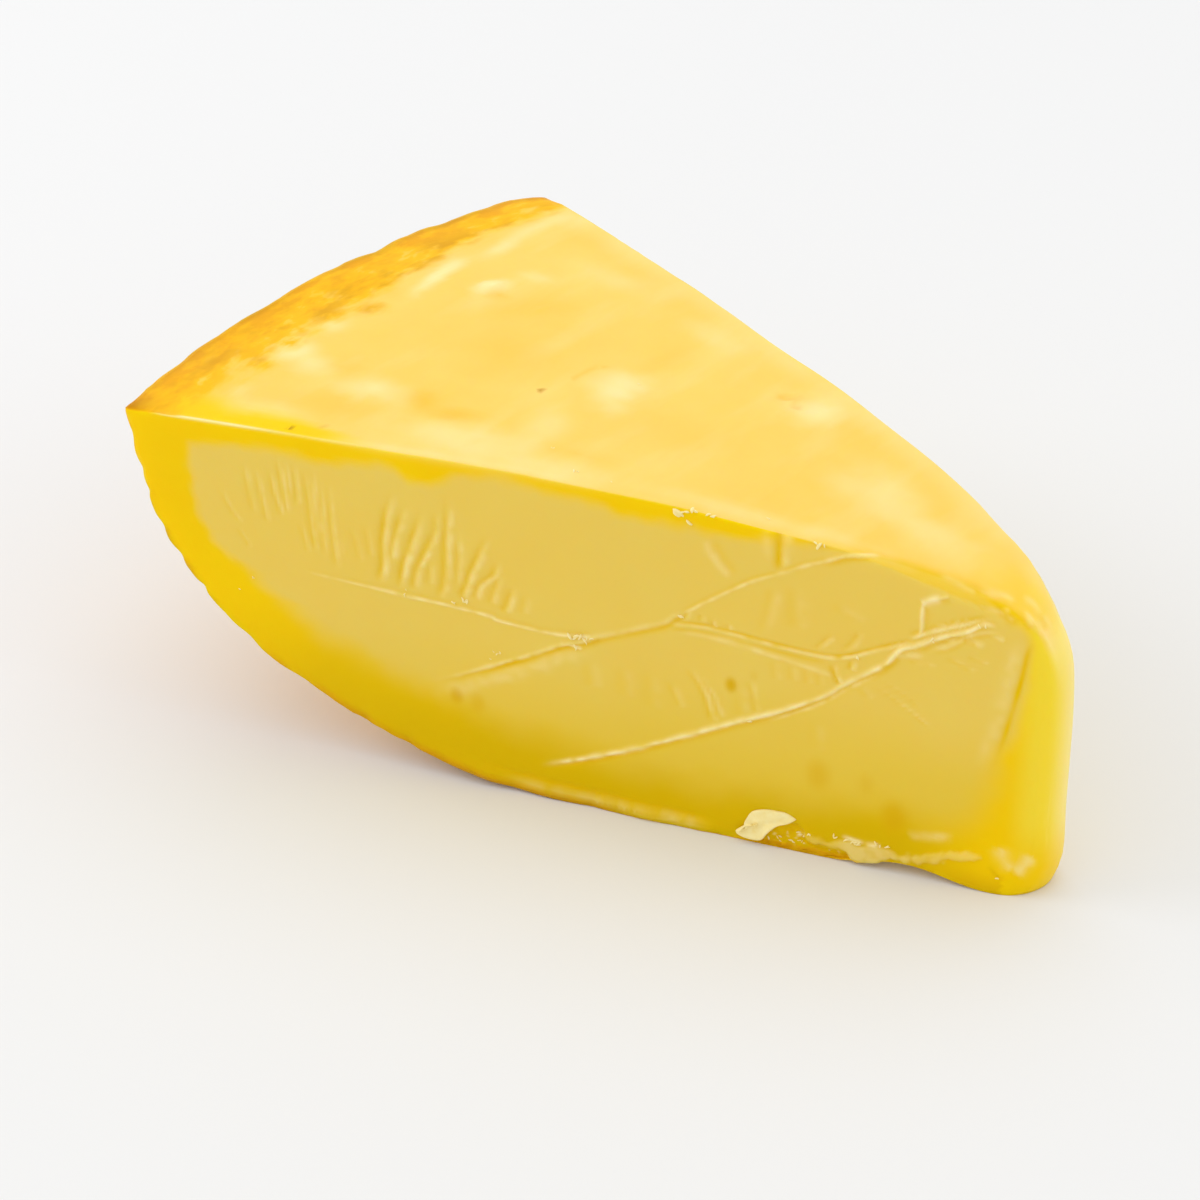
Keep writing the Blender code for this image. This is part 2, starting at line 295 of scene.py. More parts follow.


# %% [markdown]
# ## Wrinkles
# Between the creases the film gathered in fans of fine wrinkles, nearly side by side. Each one is
# a shallow groove, painted deeper yellow as shade, with a low ridge on its nose side, painted paler
# as a highlight.

# %% The wrinkles: depth of the groove, half its width, then places (along the cut, height)
WRINKLES = [
    (0.16, 0.3, [(122, 37.3), (120.6, 34), (119.2, 32.4)]), (0.12, 0.28, [(120, 32), (118.7, 28.6)]),
    (0.16, 0.3, [(118.4, 42), (117.9, 38), (117.2, 34)]),
    (0.18, 0.3, [(116.9, 41.6), (116.2, 37.6), (115.4, 33)]),
    (0.24, 0.3, [(114.9, 42), (114.2, 38), (113.2, 34.4)]),
    (0.28, 0.32, [(113.7, 43.6), (113.1, 40), (112.6, 35)]),
    (0.24, 0.28, [(112.6, 43.6), (112, 37.6)]), (0.2, 0.3, [(111.3, 43), (110.9, 36.6)]),
    (0.26, 0.34, [(109.9, 43), (109.4, 37.5), (109.2, 34), (108.7, 30)]),
    (0.16, 0.28, [(110.8, 34.5), (110.1, 31.5), (109.8, 29.8)]),
    (0.26, 0.32, [(108.7, 43), (108.7, 38), (108.3, 34), (107.9, 30.8)]),
    (0.2, 0.32, [(107.7, 41.5), (107.6, 34), (107.4, 29.8)]),
    (0.18, 0.34, [(106.5, 41.5), (106.2, 33), (105.8, 28)]), (0.1, 0.28, [(105.6, 34), (105.1, 30.6)]),
    (0.12, 0.35, [(103.5, 35.3), (102.8, 32), (102.4, 30)]), (0.12, 0.35, [(101.6, 36.4), (100.9, 31)]),
    (0.4, 0.42, [(97.4, 41.8), (98.4, 38.6), (98.9, 36), (99.3, 33), (99.4, 30), (100.2, 27.2)]),
    (0.34, 0.42, [(95.8, 39.8), (96.8, 37), (97.6, 34.5), (98.3, 31)]),
    (0.4, 0.42, [(93.2, 40), (94.4, 36.8), (95.5, 33.5), (96.4, 31), (97, 28), (97.4, 26.8)]),
    (0.38, 0.42, [(91.6, 38), (92.5, 35.2), (94, 32), (94.8, 30), (95.3, 27)]),
    (0.24, 0.4, [(91.7, 40), (91.8, 37), (92.6, 34.6)]), (0.2, 0.4, [(92.6, 32), (93, 28.5)]),
    (0.38, 0.45, [(90, 43), (90.1, 40), (90.4, 37), (90.6, 33), (91, 29), (92, 26.5)]),
    (0.24, 0.4, [(89, 38), (88.8, 33), (89.4, 28.6)]),
    (0.44, 0.42, [(84.6, 38), (85.8, 34.8), (87.2, 31.5), (87.9, 29.5), (88.4, 28), (88.3, 26.9)]),
    (0.36, 0.38, [(83.4, 34.5), (84, 32), (85, 31), (86.1, 29.8), (86.8, 27.4)]),
    (0.24, 0.36, [(82.9, 32.6), (83.8, 30), (84.6, 27.4)]),
    (0.34, 0.42, [(81.3, 31), (82.2, 28), (82.9, 26.6)]),
    (0.14, 0.4, [(79.6, 30), (80.2, 27)]), (0.1, 0.7, [(71.5, 22.5), (71, 18)]),
    (0.1, 0.7, [(67, 22.5), (66.6, 17.5)]), (0.08, 0.7, [(63.5, 23.5), (63, 16.5)]),
    (0.16, 0.4, [(60.6, 21.5), (58.8, 17.6)]),
    (0.34, 0.36, [(58.4, 24.2), (56.6, 22), (55.6, 20), (54.9, 17.5), (54.2, 16.4)]),
    (0.28, 0.34, [(56.8, 23.4), (55, 21), (54.2, 19), (53.5, 17.2)]),
    (0.22, 0.36, [(49.9, 24.4), (49.3, 21.5), (48.8, 19)]), (0.1, 0.6, [(51.6, 23.5), (50.9, 18)]),
    (0.1, 0.42, [(46.9, 28), (46.4, 24.6)]), (0.12, 0.42, [(44.6, 27.8), (44.2, 25)]),
    (0.12, 0.4, [(42.6, 27.6), (42.3, 25)]), (0.1, 0.4, [(41, 27.4), (40.7, 25)]),
    (0.06, 0.6, [(41.6, 20.3), (41, 15.4)]),
    (0.42, 0.34, [(39.3, 29), (38.7, 27), (37.9, 25.8)]), (0.36, 0.32, [(36.5, 29.9), (36.9, 28.2)]),
    (0.3, 0.26, [(59.2, 30.4), (58.4, 31), (57.8, 32.2)]), (0.26, 0.26, [(56.2, 32.2), (56.1, 30.9)]),
    (0.26, 0.26, [(54.9, 31.8), (54.5, 30.6)]), (0.2, 0.26, [(52.8, 31.6), (52.5, 30.6)]),
    (0.14, 0.55, [(48.9, 30.4), (47.7, 34), (47.1, 38)]), (0.13, 0.75, [(44.8, 39.2), (44.2, 32.6)]),
    (0.24, 0.32, [(41.6, 30.2), (40.4, 31.4), (39.2, 32.8)]),
    (0.24, 0.32, [(38.2, 30.8), (36.6, 32.2), (35.8, 34)]),
    (0.1, 0.6, [(39.8, 37.2), (36, 35.7)]),
    (0.18, 0.22, [(34.2, 27.1), (30, 24.7), (26.2, 22.2)]),
    (0.12, 0.22, [(33.4, 28.2), (30, 26.4), (27.6, 24.6)]),
    (0.12, 0.45, [(36, 26.4), (34.4, 24.8)]),
    (0.62, 0.42, [(26.2, 34.2), (24.6, 35.4), (22.6, 35.6), (20.6, 35.3)]),
    (0.24, 0.32, [(25.2, 32.8), (23, 32.1), (21.4, 31.6)]),
    (0.2, 0.3, [(22.4, 33.4), (19.8, 33)]), (0.3, 0.36, [(20.8, 37.1), (18.2, 36.8)]),
    (0.18, 0.32, [(30, 31), (28, 31.4), (26.4, 31.2)]),
    (0.36, 0.6, [(22.4, 43.6), (20.4, 43), (18.6, 42.8), (17.6, 42)]),
    (0.3, 0.4, [(18.2, 41.6), (18.4, 40)]),
    (0.36, 0.45, [(16.2, 41.6), (15.2, 39.8), (14.2, 38.8)]),
    (0.26, 0.4, [(13.8, 41.6), (12.8, 40.4), (12.4, 39)]),
    (0.24, 0.45, [(27.4, 44.2), (24.6, 43.6), (22, 42.4)]),
    (0.22, 0.4, [(21.4, 40.4), (19.2, 40.6), (17.2, 39.6)]),
]
wrinkles = [(depth, width, curve(points, 5)) for depth, width, points in WRINKLES]
print("creases:", len(creases), " wrinkles:", len(wrinkles))


# %% [markdown]
# ## Finer faces where the lines run
# Edges are halved until they are as short as their place needs: very short on a crease, short on
# a wrinkle, and long on the underside.

# %% Halve the long edges where they matter
def halve_long_edges(piece, wanted, rounds=6):
    """Split the edges that are longer than `wanted` says at their middle, until none is left."""
    for _ in range(rounds):
        mesh = piece.data
        spots = corners(mesh)
        ends = np.empty(len(mesh.edges) * 2, dtype=int)
        mesh.edges.foreach_get("vertices", ends)
        ends = ends.reshape(-1, 2)
        middle = (spots[ends[:, 0]] + spots[ends[:, 1]]) / 2.0
        length = np.linalg.norm(spots[ends[:, 0]] - spots[ends[:, 1]], axis=1) / MM
        long = length > wanted(places(middle))
        if not long.any():
            break
        only(piece)
        bpy.ops.object.mode_set(mode="EDIT")
        bpy.ops.mesh.select_mode(type="EDGE")
        bpy.ops.mesh.select_all(action="DESELECT")
        bpy.ops.object.mode_set(mode="OBJECT")
        mesh.edges.foreach_set("select", long)
        bpy.ops.object.mode_set(mode="EDIT")
        bpy.ops.mesh.subdivide(number_cuts=1, ngon=False, quadcorner="INNERVERT")
        bpy.ops.object.mode_set(mode="OBJECT")


front_spots = places(corners(body.data))
front_flat = (facing(body.data) @ FRONT_OUT > 0.9) & (front_spots.depth < 3.0)
ALONG_STEPS, HEIGHT_STEPS = np.arange(20.0, 134.0, 1.5), np.arange(3.0, 46.0, 1.5)
FOOT = [front_spots.up[front_flat & (np.abs(front_spots.along - a) < 1.2)].min() for a in ALONG_STEPS]
SIDE = [front_spots.along[front_flat & (np.abs(front_spots.up - h) < 1.2)].max() for h in HEIGHT_STEPS]


def to_rind(at):
    """About how far a place on the front cut is from the rind at its left and below it."""
    below = at.up - np.interp(at.along, ALONG_STEPS, FOOT)
    beside = np.interp(at.up, HEIGHT_STEPS, SIDE) - at.along
    return np.minimum(below, beside)


def edge_length_wanted(at):
    """Short edges on the creases, middling ones on the rest of the cut, long ones elsewhere."""
    wanted = np.full(len(at.up), 1.5)
    wanted[at.up < 1.0] = 3.0  # the underside
    near_nose = (at.along < 36.0) & (at.depth < 6.0)
    front = ((at.depth < 1.6) | near_nose) & (at.up > 0.2)
    wanted[front] = 0.8
    spots = np.flatnonzero(front)
    along, up = at.run[spots], at.rise[spots]
    for _, width, line in wrinkles:
        distance, _, _ = near_line(along, up, line)
        wanted[spots[distance < 1.1 + width]] = 0.45
    for line in creases.values():
        distance, _, _ = near_line(along, up, line)
        wanted[spots[distance < 1.3]] = 0.42
        wanted[spots[distance < 0.5]] = 0.24
    wanted[spots[(along > 66.0) & (up > 46.0)]] = 0.4  # the lip at the top
    wanted[spots[(along > 64.0) & (to_rind(at)[spots] < 0.8)]] = 0.4  # the line by the rind
    wanted[(at.back_depth < 1.6) & (at.up > 2.0) & (at.radius > 22.0)] = 0.9
    torn = spots[(along > 18.0) & (along < 52.0) & (up < 5.8)]
    wanted[torn] = 0.36
    return wanted


def triangles(mesh):
    """How many triangles a mesh makes."""
    return sum(len(face.vertices) - 2 for face in mesh.polygons)


# Near the nose the edges of the top are round, and so are the two corners at the rim.
# A vertex group says where the Smooth modifier works.
at = places(corners(body.data))
by_front = fall(at.along, 34, 68) * fall(at.depth, 5, 8)
by_back = fall(at.back_along, 34, 68) * fall(at.back_depth, 5, 8)
roundness = np.maximum(by_front, by_back) * ramp(at.up, 32, 38)
for along, depth, share in ((at.along, at.depth, 0.8), (at.back_along, at.back_depth, 0.8)):
    corner = fall(np.hypot(WHEEL_RADIUS - along, depth), 1.5, 5)
    roundness = np.maximum(roundness, share * corner * ramp(at.up, 20, 40))
group = body.vertex_groups.new(name="round edges")
for index in np.flatnonzero(roundness > 0.02):
    group.add([int(index)], float(roundness[index]), "REPLACE")
only(body)
modify(body, "round the edges by the nose", "SMOOTH", factor=0.5, iterations=26, vertex_group=group.name)
body.vertex_groups.clear()
halve_long_edges(body, edge_length_wanted)
print("body after halving:", triangles(body.data), "triangles")

# %% Measure the body once more
at = places(corners(body.data))
normal = facing(body.data)
front = ramp(normal @ FRONT_OUT, 0.45, 0.8)
back = ramp(normal @ BACK_OUT, 0.45, 0.8)
upward = ramp(normal[:, 2], 0.55, 0.85)
radial = np.stack([at.xyz[:, 0] - CENTRE_X, at.xyz[:, 1], np.zeros(len(at.up))], axis=1)
radial /= np.maximum(at.radius, 1.0)[:, None]
rind = ramp((normal * radial).sum(axis=1), 0.35, 0.7) * ramp(at.radius, 90, 110)
relief = np.zeros(len(at.up))
nose = fall(at.radius, 17, 24)
rolled = fall(at.depth, 3, 5.5) * fall(at.along, 34, 46) * ramp(at.up, 34, 38)
pressable = np.clip(front + rolled + nose * ramp(normal @ FRONT_OUT, -0.3, 0.2), 0.0, 1.0)
# pale holds pale marks and painted highlights, deep holds deep yellow stains and painted shade, dark holds
# brown smoke and painted shade
LAYERS = ("cut", "paste", "rich", "pale_and_highlight", "deep_yellow_and_shade", "warm", "browned", "scorch", "dark_brown_and_shade", "low", "nose")
paint = {name: np.zeros(len(at.up)) for name in LAYERS}


def rough(size, seed):
    """Soft random hills over the body."""
    return grain(at.xyz, size, seed)


def lay(name, values, where=slice(None)):
    """Put paint on a layer wherever it is stronger than what is there."""
    paint[name][where] = np.maximum(paint[name][where], values)


# %% [markdown]
# ## Soft unevenness of each side
# A cut with a wire is nearly flat, a smoked skin is gently dimpled, and the rind keeps the
# print of the mould and the cloth. So each side gets hills of its own size and height.

# %% Hills and hollows
relief += front * (0.12 * rough(15, 1) + 0.04 * rough(5, 2))
relief += back * (0.20 * rough(17, 3) + 0.07 * rough(6, 4))
folds = grain(np.stack([at.back_along / 1.5, at.up / 9, at.up / 40], axis=1), 1, 61)
relief += back * 0.10 * folds * np.clip(1.6 * rough(14, 62), 0.0, 1.0)
relief += upward * (0.22 * rough(12, 5) + 0.08 * rough(4.5, 6))
relief += rind * (0.34 * rough(6, 7) + 0.16 * rough(2.8, 8) - 0.30)

# %% The rim of the top: (angle round the wheel, depth of the dent, half its width)
RIM_DENTS = [
    (-15, 0.25, 0.7), (-12.3, 0.4, 1.1), (-8.2, 0.2, 0.9), (-3.2, 0.35, 1.4), (2.2, 0.3, 0.6),
    (5.2, 0.75, 1.3), (8, 0.25, 0.5), (10.4, 0.35, 0.6), (13.8, 0.35, 0.7), (18.2, 1.2, 1),
    (-17.8, -0.35, 0.9),
]
rim = ramp(at.radius, 121, 133.5) * ramp(at.up, 24, 43)
inward = rim * (0.25 + 0.16 * rough(2, 9))
for angle, depth, width in RIM_DENTS:
    inward += rim * depth * hump(at.angle, angle, width)

# %% Scallops where the rind meets the front cut: (height, depth, half height) of each notch
NOTCHES = [
    (42.5, 0.2, 1), (37.7, 0.22, 0.8), (34.4, 0.3, 0.8), (29.6, 0.38, 1), (25.5, 0.45, 1),
    (21.3, 0.5, 0.7), (15, 0.2, 0.8), (9.5, 0.25, 1),
]
slant = math.radians(60.0) * fall(at.up, 5, 42)
outward = radial * np.cos(slant)[:, None] - np.outer(np.sin(slant), (0.0, 0.0, 1.0))
near_rind = np.maximum(rind, ramp(at.radius - 85 - 1.15 * at.up, -6, 0)) * ramp(at.up, 0.8, 4)
near_rind *= fall(at.up, 43, 46)
scallops = 0.12 + 0.16 * rough(3.2, 10) + 0.10 * rough(1.6, 11)
for height, depth, width in NOTCHES:
    at_front = fall(at.angle, -17, -9)
    scallops += at_front * depth * hump(at.up, height, width)
scallops *= near_rind


# %% [markdown]
# ## Pressing lines in the cut
# A crease is a thin raised ridge with a shallow groove beside it. The ridge is painted paler as a
# highlight, and the groove a deeper yellow as shade. Both fade at their ends and vary along their
# length.

# %% Press one line
SHALLOW = 0.65  # the paste has crept back, so a line is shallower than its width would suggest


def press(line, width, height, groove, groove_side, groove_width, pale_and_highlight, deep_yellow_and_shade, fade, seed):
    """Raise a ridge along a line on the front cut, with a groove on one side of it."""
    reach = 3.0 * max(width, groove_width) + 0.5
    lowest, highest = line.min(axis=0) - reach, line.max(axis=0) + reach
    spots = np.flatnonzero(
        (pressable > 0.0) & (at.run > lowest[0]) & (at.run < highest[0])
        & (at.rise > lowest[1]) & (at.rise < highest[1]) & (at.depth < ROLL_DEPTH)
    )
    distance, passed, side = near_line(at.run[spots], at.rise[spots], line)
    strength = ramp(passed, 0, fade[0]) * fall(passed, 1 - fade[1], 1) * pressable[spots]
    strength *= 1.0 + 0.35 * grain(at.xyz[spots], 3, seed)
    width = width * (1.0 + 0.3 * grain(at.xyz[spots], 2, seed + 1))
    ridge = hump(distance, 0, width) * strength
    hollow = hump(distance * side, groove_side * 0.9 * groove_width, groove_width)
    relief[spots] += SHALLOW * (height * ridge - groove * hollow * strength)
    frayed = np.clip(0.75 + 0.7 * grain(at.xyz[spots], 1.1, seed + 2), 0.0, 1.0)
    # The ridge is painted paler as a highlight, and the groove deeper yellow as shade.
    lay("pale_and_highlight", pale_and_highlight * ridge * frayed, spots)
    lay("deep_yellow_and_shade", deep_yellow_and_shade * hollow * strength, spots)


# line, half width and height of its ridge, depth, side and half width of its groove,
# paleness (pale colour and painted highlight), depth of colour (deep yellow and painted shade),
# shares of its length that fade at the start and end, seed
CREASED = [
    (creases["upper left"], 0.22, 0.18, 0.08, -1, 0.4, 0.85, 0.2, (0.45, 0.02), 12),
    (creases["lower left"], 0.28, 0.28, 0.26, -1, 0.5, 0.6, 0.95, (0.02, 0.5), 13),
    (creases["lower left"] - (0, 2.1), 0.9, 0.12, 0, 1, 0.9, 0.3, 0, (0.25, 0.3), 20),
    (curve([(75, 23.9), (73.4, 23.8), (71.8, 23.5)]), 0.2, 0.2, 0.08, 1, 0.3, 0.9, 0.4, (0.2, 0.1), 25),
    (creases["soft arch"], 0.45, 0.18, 0.22, 1, 0.5, 0.35, 0.8, (0.05, 0.1), 14),
    (creases["arch"], 0.26, 0.2, 0.24, -1, 0.28, 0.5, 0.9, (0.1, 0.05), 19),
    (creases["arch"][:44] - (0, 0.8), 0.2, 0, 0.08, 0, 0.3, 0, 0.45, (0.1, 0.1), 22),
    (creases["branch"], 0.24, 0.14, 0.05, -1, 0.32, 0.5, 0.35, (0.1, 0.1), 15),
    (creases["branch"][44:], 0.3, 0.16, 0.14, 1, 0.45, 0.8, 0.8, (0.3, 0.2), 23),
    (creases["second arch"], 0.42, 0.1, 0, 1, 0.5, 0.35, 0, (0.2, 0.1), 16),
    (creases["long"], 0.36, 0.4, 0.26, 1, 0.5, 1, 0.8, (0.1, 0.05), 17),
    (creases["long"][32:88] - (0, 0.9), 0.26, 0.12, 0.1, -1, 0.35, 0.45, 0.45, (0.3, 0.2), 30),
    (creases["long"][88:], 0.45, 0.2, 0.2, -1, 0.4, 0.6, 0.6, (0.2, 0.1), 24),
    (creases["long"][24:48], 0.4, 0.1, 0, 1, 0.4, 0.9, 0, (0.3, 0.3), 26),
    (curve([(29.4, 34.4), (26, 36.3), (23, 37.7), (20.6, 38.8), (18.8, 39.4)]), 0.34, 0.24, 0.2, -1,
     0.4, 0.75, 0.7, (0.1, 0.2), 27),
    (curve([(27, 33.4), (24.4, 34.4), (22, 36.4), (19.5, 37.4), (17.6, 37.2)]), 0.4, 0.16, 0.1, 1,
     0.4, 0.45, 0.5, (0.2, 0.2), 28),
    (curve([(31.6, 31.2), (29.4, 32), (27, 32.2)]), 0.5, 0.12, 0.1, 1, 0.4, 0.35, 0.4, (0.2, 0.3), 29),
    (creases["hook"], 0.24, 0.28, 0.1, 1, 0.5, 0.75, 0.35, (0.15, 0.05), 18),
    (curve([(28, 39.6), (26.6, 40.5), (25, 41.3)]), 0.5, 0.25, 0.12, 1, 0.4, 1, 0.5, (0.05, 0.5), 21),
]
for values in CREASED:
    press(*values)

# %% Press the wrinkles
for number, (depth, width, line) in enumerate(wrinkles):
    # Each groove is painted deeper yellow as shade, and each ridge paler as a highlight.
    press(line, width, 0, 0.65 * depth, 0, width, 0, 1.5 * depth, (0.4, 0.15), 200 + number)
    press(line - (2.1 * width, 0), width, 0.45 * depth, 0, 0, width, 1.1 * depth, 0, (0.4, 0.15),
          300 + number)

# %% Broad folds under the top edge, and the groove between the cut and the nose: values as above
FOLDED = [
    (curve([(46, 46.6), (46.2, 43), (46.2, 40)]), 0.6, 0, 0.26, 0, 0.55, 0, 1, (0.02, 0.25), 31),
    (curve([(44.9, 46), (45.2, 43), (45.3, 40.6)]), 0.7, 0.12, 0, 0, 0.6, 0.35, 0, (0.1, 0.3), 37),
    (curve([(47.8, 46), (47.6, 43), (47.4, 41)]), 0.6, 0.1, 0, 0, 0.6, 0.2, 0, (0.1, 0.3), 38),
    (curve([(55.6, 43), (53.9, 40), (52, 38)]), 0.7, 0.16, 0.14, -1, 0.8, 0.4, 0.4, (0.2, 0.2), 32),
    (creases["nose groove"], 0.5, 0, 0.08, 0, 0.42, 0, 1, (0.12, 0.4), 33),
    (creases["nose groove"] + (1.4, 0), 0.8, 0.12, 0, 0, 0.6, 0.25, 0, (0.15, 0.3), 34),
    (creases["top border"], 0.5, 0, 0.1, 0, 0.65, 0, 1, (0.1, 0.15), 39),
    (curve([(20, 42.6), (17.6, 40.6), (16, 38.6)]), 0.5, 0, 0.12, 0, 0.7, 0, 0.8, (0.2, 0.3), 40),
    (curve([(15.2, 43.2), (13.8, 42.4), (12.8, 40.6)]), 0.5, 0.2, 0, 0, 0.6, 0.5, 0, (0.2, 0.3), 35),
]
# Their grooves are painted deeper yellow as shade, and their ridges paler as highlights.
for values in FOLDED:
    press(*values)

# %% A roll along the foot of the cut, uneven along its length
over_foot = at.up - np.interp(at.along, ALONG_STEPS, FOOT)
roll = hump(over_foot, 0.7, 0.95) * ramp(at.along, 51, 54) * fall(at.along, 80, 98)
uneven = grain(np.stack([at.along, 0 * at.up, 0 * at.up], axis=1), 4.5, 64)
relief += pressable * roll * (0.50 + 0.45 * uneven) * (at.depth < 3.0)
for along, depth, width in ((53.0, 0.25, 1.3), (70.5, 0.2, 1.2), (96.5, 0.25, 1.0), (103.0, 0.2, 0.9)):
    notch = hump(at.along, along, width) * hump(over_foot, 0, 1.6)
    relief -= pressable * depth * notch
# The groove above the roll is painted deeper yellow as shade, and the crest below it paler as a highlight.
press(curve([(88, 3.4), (82, 2.6), (74, 2.2), (66, 2), (58, 1.8), (53, 1.7)]), 0.8, 0, 0.5, 0, 0.5,
      0, 0.85, (0.3, 0.1), 36)
press(curve([(84, 1.9), (78, 1.4), (70, 1.2), (62, 1.1), (54, 1)]), 0.5, 0.25, 0, 0, 0.5, 0.3, 0,
      (0.3, 0.1), 41)

# %% [markdown]
# ## The clear yellow bands
# Fat and smoke have soaked the cut from its edges inwards, so a pale panel of paste is left in
# the middle. The panel's outline is drawn once and used on both cuts.

# %% Paint the cut faces: the panel's outline is (along the cut, height)
PANEL = curve([
    (125.8, 43), (126, 36), (123.8, 29.5), (118.5, 24.5), (112, 19.5), (105, 15.8), (96, 13), (85, 10.2),
    (75, 8.6), (66, 7), (56, 6.6), (47, 8), (41, 7), (33, 8.8), (26, 8.2), (20.6, 9.6), (19, 12.5),
    (17.6, 17), (16.2, 23), (15.2, 28), (14.6, 32), (14.2, 36), (14.6, 38.6), (16.4, 40.2), (20, 42.2),
    (24, 43.8), (28, 44.8), (34, 45.4), (41, 45.5), (48, 44.9), (54, 44.3), (59, 44.3), (64, 44.7),
    (70, 45), (76, 45.4), (84, 45.6), (89, 45.3), (92, 43.8), (95, 43.6), (99, 44.8), (106, 44.2),
    (113, 44.6), (120, 43.8),
], 3)
cut_face = np.clip(front + back + rolled, 0.0, 1.0)
on_front = at.angle < 0.0
cut_along, cut_height = np.where(on_front, at.run, at.back_along), np.where(on_front, at.rise, at.up)
margin = np.full(len(at.up), -9.0)
on_cut = np.flatnonzero(cut_face > 0.0)
margin[on_cut] = inside(cut_along[on_cut], cut_height[on_cut], PANEL)
margin += 0.8 * rough(5, 21) + 0.4 * rough(1.8, 22)
softness = 1.0 + 2.4 * fall(at.up, 8, 30) - 0.3 * ramp(at.along, 112, 122)
paint["paste"] = cut_face * ramp(margin / softness, -1, 1.2)
top_border = np.interp(at.run, (9.0, 12.0, 14.5, 17.0, 20.0, 24.0, 28.0, 32.0, 38.0, 44.0),
                       (35.5, 38.0, 39.6, 41.6, 42.9, 43.9, 44.6, 45.1, 45.5, 46.0))
over_border = at.rise - top_border + 0.5 * rough(2.5, 27)
by_the_nose = rolled * (1.0 - front)
still_cut = np.clip(front + back + by_the_nose * fall(over_border, -0.6, 1), 0.0, 1.0)
still_cut *= 1.0 - rolled * ramp(over_border, -0.6, 1)
paint["paste"] *= np.where(rolled > 0.0, still_cut, 1.0)
paint["cut"] = np.maximum(still_cut, nose * (1.0 - upward) * (1.0 - rolled))
paint["deep_yellow_and_shade"] *= np.where(rolled > 0.0, np.maximum(still_cut, 0.5), 1.0)
# The rolled part of the cut faces up and would look too light, so its paste is a deeper yellow.
lay("deep_yellow_and_shade", 0.55 * by_the_nose * fall(over_border, -0.6, 1))
# Painted glow of light shining through the thin nose: a paler band on its back side, and a lighter yellow
# low on its front.
nose_glow = fall(at.radius, 10, 46) * ramp(normal @ BACK_OUT, -0.35, 0.6)
nose_glow *= ramp(at.up, -2, 14) * fall(at.up, 34, 46) * (1.0 - upward)
lay("pale_and_highlight", 0.55 * nose_glow)
paint["nose"] = nose * fall(at.run, 12.5, 16.5) * ramp(at.up, 3, 12)
height = at.up + 1.5 * rough(7, 23)
paint["low"] = paint["cut"] * fall(height, 4, 24) * ramp(at.radius, 16, 30)
paint["rich"] = cut_face * fall(height + 0.06 * (cut_along - 60), 9, 25)
print(f"paste covers {paint['paste'].mean():.0%} of the corners")

# %% [markdown]
# ## The edge along the top of the cut
# The skin turned over the cut as a thin lip. Its shine is a painted highlight, palest towards the rind.

# %% Raise the lip and paint its highlight
edge_heights = np.interp(at.along, (66.0, 80.0, 100.0, 115.0, 125.0, 132.0),
                         (46.9, 47.2, 47.0, 46.9, 46.6, 46.3))
across_edge = at.depth - (edge_heights - at.up)
thin = hump(across_edge, 0.05, 0.24) * ramp(at.along, 96, 104)
wide = hump(across_edge, 0.9, 1) * fall(at.along, 98, 108)
lip_and_highlight = np.maximum(thin * (0.35 + 0.65 * ramp(at.along, 110, 120)),
                  0.35 * wide * ramp(at.along, 64, 80))
lip_and_highlight *= ramp(at.up, 44, 46) * fall(at.depth, 2, 3.2)
lip_and_highlight *= np.clip(0.95 + 0.5 * rough(2.4, 24), 0.0, 1.0) * fall(at.along, 128, 131.5)
relief += 0.12 * lip_and_highlight
# The lip's pale paint is a painted highlight.
lay("pale_and_highlight", lip_and_highlight)
clear_width = 0.8 + 5.5 * ramp(at.along + 2 * rough(4, 25), 92, 133)
clear_skin = upward * fall(at.depth, 0.7 * clear_width, 1.5 * clear_width)
clear_skin *= ramp(at.along, 98, 108)
lay("cut", clear_skin)
yellow_tip = upward * fall(at.radius + 3 * rough(5, 65), 14, 34)
lay("cut", 0.5 * yellow_tip)
# A painted highlight: paler along the back edge of the top.
back_edge_sheen = upward * fall(at.back_depth, 0, 5) * (0.8 + 0.4 * rough(5, 26))
lay("pale_and_highlight", 0.35 * back_edge_sheen)

# %% [markdown]
# ## The smoked skin on top
# The skin is pale in patches, partly its own mottling and partly painted sheen of the light on its
# waxy top, and warm where smoke settled. Those patches are soft spots at named places, and at the
# rim the skin is browned.

# %% Soft spots: (along the front cut, depth behind it, half length, half width, turn, strength)
def spot(layer, along, depth, length, width, turn, strength, wobble=0.35, *, seed):
    """Paint a soft oval on the top."""
    dx, dy = at.along - along, at.depth - depth
    cosine, sine = math.cos(math.radians(turn)), math.sin(math.radians(turn))
    reach = np.hypot((dx * cosine + dy * sine) / length, (dy * cosine - dx * sine) / width)
    reach += wobble * rough(4, seed) + 0.15 * rough(1.5, seed + 1)
    layer[:] = 1.0 - (1.0 - layer) * (1.0 - strength * upward * fall(reach, 0, 1.5))


